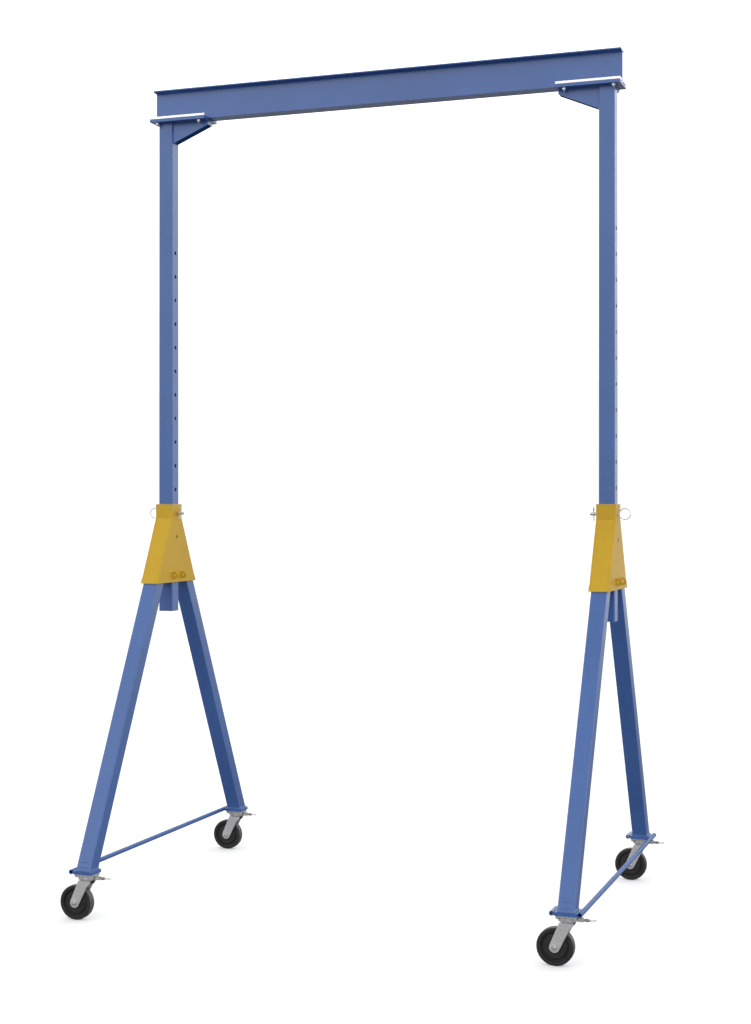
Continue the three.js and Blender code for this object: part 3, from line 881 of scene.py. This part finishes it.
# ------------------------------------------------------------------ both ends
for side, s in (("left", -1), ("right", 1)):
    cx = s * S + X0
    holes = [PIN_Z + k * PITCH for k in range(-2, 12)]

    post = shift(holed_tube(POST_H, 8.5, POST_WALL, POST_Z0, POST_Z1, holes, HOLE_R), cx)
    welds = [
        shift(bead([(x, y, POST_Z1 - 1.6) for x, y in rrect(POST_H + 1.2, POST_H + 1.2, 9, 4)], 3.2, True, seed=s), cx)
    ]
    make(f"{side}_post_tube", merged(post, *welds), "upper_frame", BLUE_POST, [f"{side}_post"])

    # beam seat: plate, edge strips
    xa, xb = s * SEAT_IN + X0, s * SEAT_OUT + X0
    seat = [block(xa, -SEAT_W / 2, SEAT_Z0, xb, SEAT_W / 2, SEAT_Z1, 1.4, 3)]
    for q in (-1, 1):
        seat.append(block(xa + s * 0.3, q * 52.2, SEAT_Z1 - 1.5, xb - s * 0.3, q * (SEAT_W / 2 - 0.3), BAR_Z0 - 0.3, 0.9, 2))
        seat.append(bead([(xa + s * 4, q * (SEAT_W / 2 - 0.6), SEAT_Z1 + 0.2), (xb - s * 4, q * (SEAT_W / 2 - 0.6), SEAT_Z1 + 0.2)], 0.9, seed=q + s, pitch=4.5))
    make(f"{side}_beam_seat_plate", merged(*seat), "upper_frame", BLUE, [f"{side}_beam_seat"])

    # clamp bars and bolts
    for face, q in (("front", -1), ("rear", 1)):
        bar = block(xa, q * BAR_IN, BAR_Z0, xb, q * SEAT_W / 2, BAR_Z1, 1.3, 3)
        make(f"{side}_{face}_clamp_bar_flat", bar, "upper_frame", ZINC_BAR, [f"{side}_{face}_clamp_bar"])
        for i, bx in enumerate(BOLT_X):
            at = (s * bx + X0, q * BOLT_Y, 0)
            turn = Matrix.Rotation(math.radians(17 * (i + 1) + 11 * q + 5 * s), 4, "Z")
            bolt = merged(
                moved(hexagon(19.0, BAR_Z1 + 0.3, BAR_Z1 + 4.3), turn),
                rod(5.9, SEAT_Z0 - 14, BAR_Z1 + 2, 0.3),
                washer(11.6, 6.4, SEAT_Z0 - 2.0, SEAT_Z0 - 0.3),
                moved(hexagon(19.0, SEAT_Z0 - 12.3, SEAT_Z0 - 2.0, both=True), turn),
                moved(threaded(5.9, 0, 11.0), Matrix.Translation((0, 0, SEAT_Z0 - 11.3)) @ AXES["-z"]),
            )
            n = f"{side}_{face}_clamp_bolt_{'outer' if i else 'inner'}"
            make(n + "_set", shift(bolt, *at), "upper_frame", ZINC, [n])

    # knee brace: two tapering webs, a top flange against the seat and an end plate, open below, with its welds
    x_in, x_out = SEAT_IN + 4.0, S - POST_H - 0.3
    slope = (4860.0 - 4757.0) / (x_out - x_in)
    g, t = 32.0, 6.0

    def low(x):
        return 4757.0 + slope * (x_out - x)

    zt = SEAT_Z0 - 0.3
    brace = []
    for q in (-1, 1):
        cheek = [(s * x_out + X0, low(x_out)), (s * x_out + X0, zt), (s * x_in + X0, zt), (s * x_in + X0, low(x_in))]
        brace.append(prism(cheek, "y", q * g, q * (g - t), 0.9, 3))
    brace.append(block(s * (x_in + 0.6) + X0, -g + t - 0.5, zt - t, s * (x_out - 0.4) + X0, g - t + 0.5, zt - 0.1, 0.6))
    brace.append(block(s * (x_in + 0.1) + X0, -g + t - 0.5, low(x_in) + 0.4, s * (x_in + t) + X0, g - t + 0.5, zt - 0.4, 0.8))
    for q in (-1, 1):
        brace.append(bead([(s * (x_out - 0.4) + X0, q * (g + 0.3), low(x_out) + 4), (s * (x_out - 0.4) + X0, q * (g + 0.3), SEAT_Z0 - 4)], 2.3, seed=q))
        brace.append(bead([(s * (x_in + 4) + X0, q * (g + 0.5), SEAT_Z0 - 1.2), (s * (x_out - 2) + X0, q * (g + 0.5), SEAT_Z0 - 1.2)], 2.3, seed=q + 9))
        brace.append(bead([(s * (x_in + t + 0.3) + X0, q * (g - t - 0.3), low(x_in) + 3), (s * (x_in + t + 0.3) + X0, q * (g - t - 0.3), zt - t - 1)], 1.9, seed=q + 4))
        brace.append(bead([(s * (x_in + t + 2) + X0, q * (g - t - 0.4), zt - t - 0.4), (s * (x_out - 4) + X0, q * (g - t - 0.4), zt - t - 0.4)], 1.9, seed=q + 6))
    make(f"{side}_knee_brace_welded", merged(*brace), "upper_frame", BLUE, [f"{side}_knee_brace"])

    make(f"{side}_frame_head_welded", head(cx), "base_frame", YELLOW, [f"{side}_frame_head"])

    # locking pin: chamfered, with its collar and its cross hole; ring handle; hairpin clip
    outward = "x" if s > 0 else "-x"
    face_x = HEAD_X + 0.3
    clip_x = -(HEAD_X + 26)
    # local +Z of the lathe runs outward along X
    pin = aim(merged(
        lathe([(5.5, -HEAD_X - 50), (7.4, -HEAD_X - 49.4), (PIN_R - 0.2, -HEAD_X - 45.5), (PIN_R, -HEAD_X - 44.5), (PIN_R, HEAD_X + 4.0)], 48),
    ), outward, (cx, 0, PIN_Z))
    pin = cut(pin, shift(lathe([(2.75, -30), (2.75, 30)], 24), cx + s * clip_x, 0, PIN_Z))
    collar = aim(lathe([(6.0, face_x), (13.0, face_x), (13.5, face_x + 0.6), (13.5, face_x + 4.3), (12.9, face_x + 5.0), (6.0, face_x + 5.0)], 48), outward, (cx, 0, PIN_Z))
    make(f"{side}_lock_pin_turned", merged(pin, collar), f"{side}_pin", ZINC, [f"{side}_lock_pin"])

    rc = cx + s * (HEAD_X + 5 + 0.3 + 0.4 + 35)
    ring_pts = [(rc + 32.2 * math.cos(2 * math.pi * i / 72), 0, PIN_Z + 32.2 * math.sin(2 * math.pi * i / 72)) for i in range(72)]
    tack = wire(
        [(rc - s * 36.0, 0, PIN_Z - 3.2), (rc - s * 34.6, 0, PIN_Z - 1.6), (rc - s * 34.3, 0, PIN_Z), (rc - s * 34.6, 0, PIN_Z + 1.6), (rc - s * 36.0, 0, PIN_Z + 3.2)],
        2.6, 12,
    )
    make(f"{side}_pin_ring_wire", merged(wire(ring_pts, 2.8, 16, True), tack), f"{side}_pin", ZINC, [f"{side}_pin_ring"])

    c = 2.1
    qq = PIN_R + c + 0.6
    clip = catmull(
        [
            (0, 0, -40), (0, 0, -20), (0, 0, 6), (0, 0, 24), (0, -2.5, 34), (0, -10, 40), (0, -17, 34), (0, -16, 24),
            (0, -qq - 1.4, 12), (0, -qq - 1.6, 0), (0, -qq - 1, -12), (0, -qq - 0.6, -21), (0, -qq - 2, -30), (0, -qq - 6, -37),
        ],
        7,
    )
    clip = [p + Vector((cx + s * clip_x, 0, PIN_Z)) for p in clip]
    make(f"{side}_hairpin_clip_wire", wire(clip, c, 14), f"{side}_clip", ZINC, [f"{side}_hairpin_clip"])

    # legs, foot plates, tie pipe
    for face, q in (("front", -1), ("rear", 1)):
        leg = [shift(slanted_tube(LEG_H, 8.0, LEG_WALL, FOOT_Z1 + 0.3, LEG_TOP, q), cx)]
        yb = q * LEG_Y_FOOT
        base = [(cx + x, yb + y, FOOT_Z1 + 2.2) for x, y in rrect(LEG_H + 1.2, 53.0 + 1.2, 9, 4)]
        leg.append(bead(base, 4.6, True, seed=s + q))
        leg.append(bead([(p[0], p[1], p[2] + 4.0) for p in [(cx + x, yb + y - q * 2.4, FOOT_Z1 + 2.2) for x, y in rrect(LEG_H + 0.4, 53.0 + 0.4, 9, 4)]], 2.6, True, seed=s - q))
        # short plug welds on the outer face, over the stiffener inside
        t_leg = (LEG_Y_FOOT - LEG_Y_TOP) / (HEAD_LOW - FOOT_Z1)
        for dz, half in ((21.0, 26.0), (50.0, 17.0)):
            zz = FOOT_Z1 + dz
            yy = q * (LEG_Y_TOP + t_leg * (HEAD_LOW - zz) + 53.0 - 0.2)
            leg.append(bead([(cx - half, yy, zz), (cx + half, yy, zz)], 2.9, seed=dz + q, pitch=4.6))
        make(f"{side}_{face}_leg_tube", merged(*leg), "base_frame", BLUE, [f"{side}_{face}_leg"])

        fy = q * FOOT_Y
        plate = [shift(prism(rrect(FOOT_HX, FOOT_HY, 5, 5), "z", FOOT_Z0, FOOT_Z1, 1.6, 3, 40), cx, fy)]
        if s > 0:
            stub = lathe(
                [(PIPE_R - 3.4, -FOOT_HY), (PIPE_R - 0.6, -FOOT_HY), (PIPE_R, -FOOT_HY + 0.7), (PIPE_R, FOOT_HY - 0.7), (PIPE_R - 0.6, FOOT_HY), (PIPE_R - 3.4, FOOT_HY), (PIPE_R - 3.4, 0)],
                48, loop=True,
            )
            plate.append(aim(stub, "y", (cx - PIPE_X, fy, PIPE_Z)))
        for xx in (-s * (FOOT_HX + 0.6), s * (FOOT_HX + 0.6)) if s > 0 else (s * (FOOT_HX + 0.6),):
            # at the tie pipe's side the weld stays on the plate, clear of the pipe's own surface
            reach = 3.4 if xx * s < 0 else 1.6
            plate.append(bead([(cx + xx, fy - FOOT_HY + 5, FOOT_Z1 - 1.4), (cx + xx, fy + FOOT_HY - 5, FOOT_Z1 - 1.4)], reach, seed=xx))
            plate.append(bead([(cx + xx, fy - FOOT_HY + 5, FOOT_Z0 + 3.0), (cx + xx, fy + FOOT_HY - 5, FOOT_Z0 + 3.0)], reach * 0.9, seed=xx + 1))
        make(f"{side}_{face}_foot_plate_welded", merged(*plate), "base_frame", BLUE, [f"{side}_{face}_foot_plate"])
    run = FOOT_Y + FOOT_HY
    pipe = lathe(
        [(PIPE_R - 3.4, -run), (PIPE_R - 0.6, -run), (PIPE_R, -run + 0.7), *[(PIPE_R, -run + 1 + (2 * run - 2) * i / 24) for i in range(1, 24)],
         (PIPE_R, run - 0.7), (PIPE_R - 0.6, run), (PIPE_R - 3.4, run), (PIPE_R - 3.4, 0)],
        48, loop=True,
    )
    make(f"{side}_tie_pipe_round", aim(pipe, "y", (cx + s * PIPE_X, 0, PIPE_Z)), "base_frame", BLUE_PIPE, [f"{side}_tie_pipe"])


# ------------------------------------------------------------------ casters
def race_ring(r, z):
    """Raceway outline with its four lock notches."""
    pts = []
    for k in range(4):
        a0 = math.degrees(math.asin(7.2 / r))
        base = 90 * k
        pts += arc(0, 0, r, base + a0, base + 90 - a0, 18)
        c, sn = math.cos(math.radians(base + 90)), math.sin(math.radians(base + 90))
        for u, w in ((43.0, -7.2), (43.0, 7.2)):
            pts.append((u * c - w * sn, u * sn + w * c))
    return [(x, y, z) for x, y in pts]


def caster_plate():
    under = FOOT_Z0 - 0.3 - 8.0
    parts = [prism(rrect(57, 51, 6, 5), "z", under, FOOT_Z0 - 0.3, 1.2, 2, 40)]
    for bx in (-1, 1):
        for by in (-1, 1):
            turn = Matrix.Rotation(0.5 * bx + 0.8 * by, 4, "Z")
            parts.append(shift(merged(
                washer(11.0, 5.2, under - 1.9, under - 0.1),
                moved(hexagon(17.0, under - 8.5, under - 1.9, both=True), turn),
                moved(threaded(5.0, 0, 3.2, 1.5, 0.8), Matrix.Translation((0, 0, under - 8.2)) @ AXES["-z"]),
            ), bx * 47, by * 41))
    parts.append(lathe([(9.4, 214.5), (9.4, under + 2)], 40))
    parts.append(hexagon(27.5, 216, 227, both=True))
    parts.append(moved(threaded(7.6, 0, 3.0, 1.75, 0.9), Matrix.Translation((0, 0, 216.4)) @ AXES["-z"]))
    # swivel lock housing, its bracket and web
    bore = aim(lathe([(6.6, -40), (6.6, 40)], 40), "x", (70, 0, 250))
    body = block(53.6, -11, 240, 84.5, 11, 262, 2.2, 3)
    parts.append(cut(body, bore))
    parts.append(aim(washer(9.2, 6.7, 83.6, 85.0, 40), "x", (0, 0, 250)))
    parts.append(block(53.8, -10.8, 257, 57.0, 10.8, under + 1, 0.8))
    parts.append(prism([(55.5, under + 1.5), (55.5, 258), (80, 258), (80, 262)], "y", -4, 4, 0.8))
    return merged(*parts)


def caster_fork():
    parts = []
    zs = [(44.5, 238.0), (47.6, 239.2), (49.8, 241.5), (51.0, 245.0), (51.0, 250.6), (49.7, 251.2), (49.7, 253.0), (51.0, 253.6), (51.0, 263.8), (50.2, 265.0)]
    race = loft([race_ring(r, z) for r, z in zs])
    parts.append(cut(race, lathe([(10.2, 200), (10.2, 300)], 40)))
    # crown: bent from the fork's plate, with round bends
    a, b = FORK_IN + FORK_T + 0.05, FORK_IN
    sec = [(-a, 212.0)] + arc(-a + 9, 239 - 9, 9, 180, 90, 7) + arc(a - 9, 239 - 9, 9, 90, 0, 7) + [(a, 212.0), (b, 212.0)]
    sec += arc(b - 2.7, 230 - 2.7, 2.7, 0, 90, 4) + arc(-b + 2.7, 230 - 2.7, 2.7, 90, 180, 4) + [(-b, 212.0)]
    top = [[(x, y, z) for y, z in sec] for x in (-33.0, -10.0, 12.0, 31.0)]
    crown = eased(loft(top), 0.8, 2, 60)
    parts.append(cut(crown, lathe([(10.2, 200), (10.2, 300)], 40)))
    ax, az, er = -TRAIL, WHEEL_R, 28.5
    side = [(-40, 234), *arc(ax, az, er, math.degrees(math.pi - 0.45), math.degrees(2 * math.pi - 0.45), 28)]
    side += [(14.0, 196.0), (20.0, 204.0), (26.0, 210.5), (33.0, 218.0), (37.0, 226.0), (38.0, 234.0)]
    for q in (-1, 1):
        leg = prism(side, "y", q * FORK_IN, q * (FORK_IN + FORK_T), 1.3, 3, 40)
        leg = cut(leg, aim(lathe([(9.9, -30), (9.9, 30)], 40), "y", (ax, q * 32.6, az)))
        parts.append(leg)
        # stamped boss round the axle hole
        parts.append(aim(lathe([(10.0, 0.0), (17.2, 0.0), (16.4, 0.8), (10.0, 0.8)], 48, loop=True), "y" if q > 0 else "-y", (ax, q * (FORK_IN + FORK_T - 0.2), az)))
    return merged(*parts)


def wheel():
    """Turned about local Z, the axle."""
    R, w = WHEEL_R, WHEEL_W / 2
    half = [
        (R, 0.0), (R - 0.01, 7.0), (R - 0.08, 13.0), (R - 0.3, 18.0), (R - 1.0, 21.2), (R - 2.2, 23.3), (R - 3.8, 24.6), (R - 6.2, w),
        (86.0, w), (81.0, w), (79.6, w - 0.6), (78.8, w - 1.8), (76.6, w - 8.2), (75.2, w - 9.6), (73.2, w - 10.2), (69.2, w - 10.2), (67.4, w - 9.8), (66.2, w - 8.8),
        (63.6, w - 5.6), (62.2, w - 5.0), (48.0, w - 5.0), (34.0, w - 5.0), (31.2, w - 4.6), (29.6, w - 3.4), (28.8, w + 1.2), (28.0, w + 2.5), (26.9, w + 3.0), (12.0, w + 3.0), (10.8, w + 2.2),
    ]
    prof = [(r, -h) for r, h in reversed(half[1:])] + half
    return lathe(prof, 128, loop=True)


def axle():
    fo = FORK_IN + FORK_T + 0.3
    parts = [rod(9.4, -fo - 3, fo + 3, 0.4, 40)]
    parts.append(shift(washer(15.0, 9.5, fo + 0.7, fo + 2.5)))
    parts.append(shift(washer(15.0, 9.5, -fo - 2.5, -fo - 0.7)))
    parts.append(hexagon(24.5, fo + 2.5, fo + 10.5, both=True))
    parts.append(threaded(7.8, fo + 9, fo + 14.5, 1.75, 0.9))
    parts.append(moved(hexagon(24.5, fo + 2.5, fo + 9.5), AXES["-z"]))
    # grease nipple in the head
    parts.append(moved(lathe([(3.2, fo + 9.2), (3.2, fo + 10.4), (1.9, fo + 11.0), (1.9, fo + 12.2), (2.6, fo + 12.8), (2.4, fo + 14.0), (1.2, fo + 14.6)], 24), AXES["-z"]))
    return merged(*parts)


def plunger():
    n = 48
    knob = []
    for z, r, k in ((92.4, 7.2, 0), (93.2, 8.0, 0.0), (94.4, 8.3, 0.3), (111.6, 8.3, 0.3), (113.0, 8.0, 0.0), (114.0, 7.2, 0)):
        knob.append([((r + k * (1 if i % 2 else -1)) * math.cos(2 * math.pi * i / n), (r + k * (1 if i % 2 else -1)) * math.sin(2 * math.pi * i / n), z) for i in range(n)])
    parts = [
        aim(lathe([(3.6, 52.4), (5.4, 53.4), (6.0, 56.0), (6.0, 93.0)], 40), "x", (0, 0, 250)),
        aim(loft(knob), "x", (0, 0, 250)),
        aim(lathe([(5.0, 113.2), (4.6, 115.6), (3.6, 117.4), (2.4, 119.6)], 32), "x", (0, 0, 250)),
    ]
    ring = [(135.5 + 17.5 * math.cos(2 * math.pi * i / 56), 17.5 * math.sin(2 * math.pi * i / 56), 250) for i in range(56)]
    return merged(*parts), wire(ring, 2.0, 12, True)


PLATE, FORK, WHEEL, AXLE = caster_plate(), caster_fork(), wheel(), axle()
ROD, LOOP = plunger()
for name, sx, sy in (("front_left", -1, -1), ("front_right", 1, -1), ("rear_left", -1, 1), ("rear_right", 1, 1)):
    at = (sx * S + X0, sy * FOOT_Y, 0)
    hub = (at[0] - TRAIL, at[1], WHEEL_R)
    make(f"{name}_caster_plate_top", shift(PLATE, *at), "base_frame", GALV, [f"{name}_caster_plate"], at)
    make(f"{name}_caster_fork_pressed", shift(FORK, *at), f"{name}_caster", GALV, [f"{name}_caster_fork"], at)
    make(f"{name}_wheel_moulded", aim(WHEEL, "y", hub), f"{name}_wheel_body", BLACK, [f"{name}_wheel"], hub)
    make(f"{name}_axle_set", aim(AXLE, "-y", hub), f"{name}_caster", ZINC, [f"{name}_axle"], hub)
    make(f"{name}_swivel_lock_plunger", shift(ROD, *at), f"{name}_lock", OLIVE, [f"{name}_swivel_lock"], at, extra=[(shift(LOOP, *at), ZINC)])


# ------------------------------------------------------------------ floor, light and camera
floor_me = bpy.data.meshes.new("floor")
floor_me.from_pydata([(-600, -600, -0.0004), (600, -600, -0.0004), (600, 600, -0.0004), (-600, 600, -0.0004)], [], [(0, 1, 2, 3)])
floor = bpy.data.objects.new("studio_floor", floor_me)
bpy.context.scene.collection.objects.link(floor)
fm, fnt, fsh = new_material("studio_floor_paint")
fsh.inputs["Base Color"].default_value = (0.96, 0.96, 0.96, 1)
fsh.inputs["Roughness"].default_value = 0.9
fsh.inputs["Specular IOR Level"].default_value = 0.0
fsh.inputs["Emission Color"].default_value = (1, 1, 1, 1)
fsh.inputs["Emission Strength"].default_value = 0.16
floor_me.materials.append(fm)
floor.visible_diffuse = False
floor.visible_glossy = False

world = bpy.data.worlds.new("studio")
bpy.context.scene.world = world
world.use_nodes = True
wn = world.node_tree
wn.nodes.clear()
wo = wn.nodes.new("ShaderNodeOutputWorld")
bg = wn.nodes.new("ShaderNodeBackground")
wtc = wn.nodes.new("ShaderNodeTexCoord")
wsep = wn.nodes.new("ShaderNodeSeparateXYZ")
wn.links.new(wtc.outputs["Generated"], wsep.inputs[0])
up = ramp(wn, wsep.outputs["Z"], -0.13, -0.02, 0.0, 1.0)
band = ramp(wn, wsep.outputs["Z"], 0.03, 0.24, 0.0, 1.0)
top = ramp(wn, wsep.outputs["Z"], 0.40, 0.85, 0.0, 1.0)
sky = mix(wn, up, (0.24, 0.24, 0.255), (1.03, 1.03, 1.03))
sky = mix(wn, band, sky, (1.60, 1.60, 1.62))
sky = mix(wn, top, sky, (0.66, 0.66, 0.67))
wn.links.new(sky, bg.inputs["Color"])
bg.inputs["Strength"].default_value = 1.0
wn.links.new(bg.outputs[0], wo.inputs[0])


def softbox(name, at, to, size, watts, colour=(1, 1, 1)):
    d = bpy.data.lights.new(name, "AREA")
    d.shape = "RECTANGLE"
    d.size, d.size_y = size
    d.energy = watts
    d.color = colour
    o = bpy.data.objects.new(name, d)
    bpy.context.scene.collection.objects.link(o)
    o.location = at
    o.rotation_euler = (Vector(to) - Vector(at)).to_track_quat("-Z", "Y").to_euler()
    o.visible_camera = False
    return o


softbox("key", (-9.0, -16.0, 15.0), (0, 0, 2.4), (9.0, 9.0), 90.0)
softbox("side", (17.0, -5.0, 9.0), (0, 0, 2.6), (8.0, 10.0), 110.0)

cam_data = bpy.data.cameras.new("camera")
cam = bpy.data.objects.new("camera", cam_data)
bpy.context.scene.collection.objects.link(cam)
cam.location = (3.3846, -9.521, 2.4332)
cam.rotation_euler = (math.radians(90), 0, math.radians(19.627))
cam_data.sensor_width = 36
cam_data.lens = 57.577
cam_data.shift_y = -0.00732
cam_data.clip_start, cam_data.clip_end = 0.1, 2000
cam_data.dof.use_dof = False
bpy.context.scene.camera = cam
bpy.context.scene.view_settings.view_transform = "Standard"
bpy.context.scene.view_settings.look = "None"
